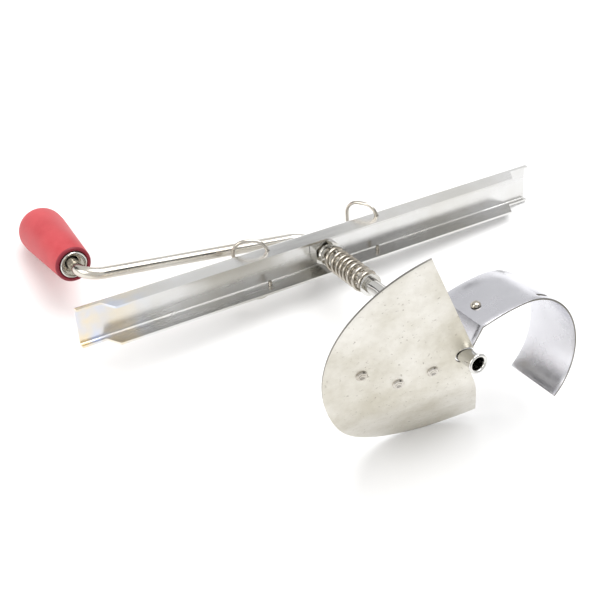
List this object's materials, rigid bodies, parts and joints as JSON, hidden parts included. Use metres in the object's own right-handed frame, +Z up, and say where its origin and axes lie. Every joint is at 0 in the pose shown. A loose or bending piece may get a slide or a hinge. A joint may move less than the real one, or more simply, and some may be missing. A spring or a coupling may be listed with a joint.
{
  "type": "food mill crank and blade",
  "caption": "Hand crank assembly of a rotary food mill: channel crossbar, bent crank with red grip, press spring, pressing blade and hooked sweeper band.",
  "frame": {"origin": "bottom centre of the bounding box of the assembly as it lies on a table", "axes": "+Z up from the table, +X to the right and +Y away as seen from the blade's side"},
  "size_m": [0.252, 0.1792, 0.1187],
  "materials": {
    "bar_steel": "bright tinned sheet",
    "plated_steel": "bright nickel plate",
    "spring_wire": "drawn wire, nickel plate",
    "rod_steel": "drawn rod, nickel plate",
    "tube_steel": "bright plated tube",
    "blade_steel": "dull tinned sheet with light stains",
    "rivet_steel": "plated",
    "band_steel": "bright tinned sheet",
    "red_plastic": "satin moulded plastic"
  },
  "bodies": {
    "crossbar_frame": {"crossbar": "bar_steel", "shaft_bush": "plated_steel", "bush_lock_ring": "plated_steel", "spring_washer": "plated_steel"},
    "spring_carrier": {"press_spring": "spring_wire", "spring_seat": "plated_steel"},
    "crank": {"crank_rod": "rod_steel", "spindle_stop": "plated_steel", "hub_tube": "tube_steel", "press_blade": "blade_steel", "blade_strap": "bar_steel", "blade_rivet_1": "rivet_steel", "blade_rivet_2": "rivet_steel", "blade_rivet_3": "rivet_steel", "sweeper_band": "band_steel", "sweeper_rivet": "rivet_steel"},
    "grip_turner": {"grip": "red_plastic", "grip_ferrule": "plated_steel"},
    "left_bail": {"left_bail": "spring_wire"},
    "right_bail": {"right_bail": "spring_wire"}
  },
  "joints": [
    {"name": "spring_press", "type": "slide", "parent": "crossbar_frame", "child": "spring_carrier", "axis": [-0.5624, 0.7134, -0.4181], "range_m": [0, 0.005], "stiffness_N_per_m": 800, "springref_m": -0.004, "deforming": ["press_spring"]},
    {"name": "crank_turn", "type": "hinge", "parent": "spring_carrier", "child": "crank", "pos_m": [0.01306, 0.01498, 0.01752], "axis": [-0.5624, 0.7134, -0.4181], "continuous": true},
    {"name": "grip_turn", "type": "hinge", "parent": "crank", "child": "grip_turner", "pos_m": [-0.07741, -0.04382, 0.03889], "axis": [-0.5624, 0.7134, -0.4181], "continuous": true},
    {"name": "left_bail_swing", "type": "hinge", "parent": "crossbar_frame", "child": "left_bail", "pos_m": [-0.0085, -0.00466, 0.02114], "axis": [-0.1929, 0.3785, 0.9053], "range_deg": [-28, 8]},
    {"name": "right_bail_swing", "type": "hinge", "parent": "crossbar_frame", "child": "right_bail", "pos_m": [0.03845, 0.02978, 0.01675], "axis": [-0.1929, 0.3785, 0.9053], "range_deg": [-98, 36]}
  ]
}
